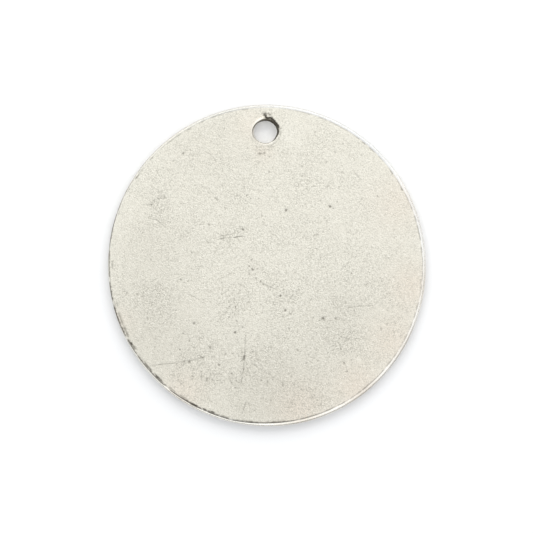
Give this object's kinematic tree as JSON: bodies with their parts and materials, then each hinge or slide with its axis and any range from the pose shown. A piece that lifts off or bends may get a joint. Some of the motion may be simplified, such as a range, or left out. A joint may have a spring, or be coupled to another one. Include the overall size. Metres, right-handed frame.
{
  "type": "blank disc charm",
  "caption": "Flat round metal blank with a small hole near its rim, to stamp or engrave and hang from a jump ring.",
  "frame": {"origin": "centre of the back face, which lies on the surface", "axes": "+Z out of the front face, +Y from the disc's centre to the hole, +X to the right seen from the front"},
  "size_m": [0.025, 0.025, 0.001],
  "materials": {
    "antique_silver": "satin"
  },
  "bodies": {
    "root": {"disc": "antique_silver"}
  },
  "joints": []
}
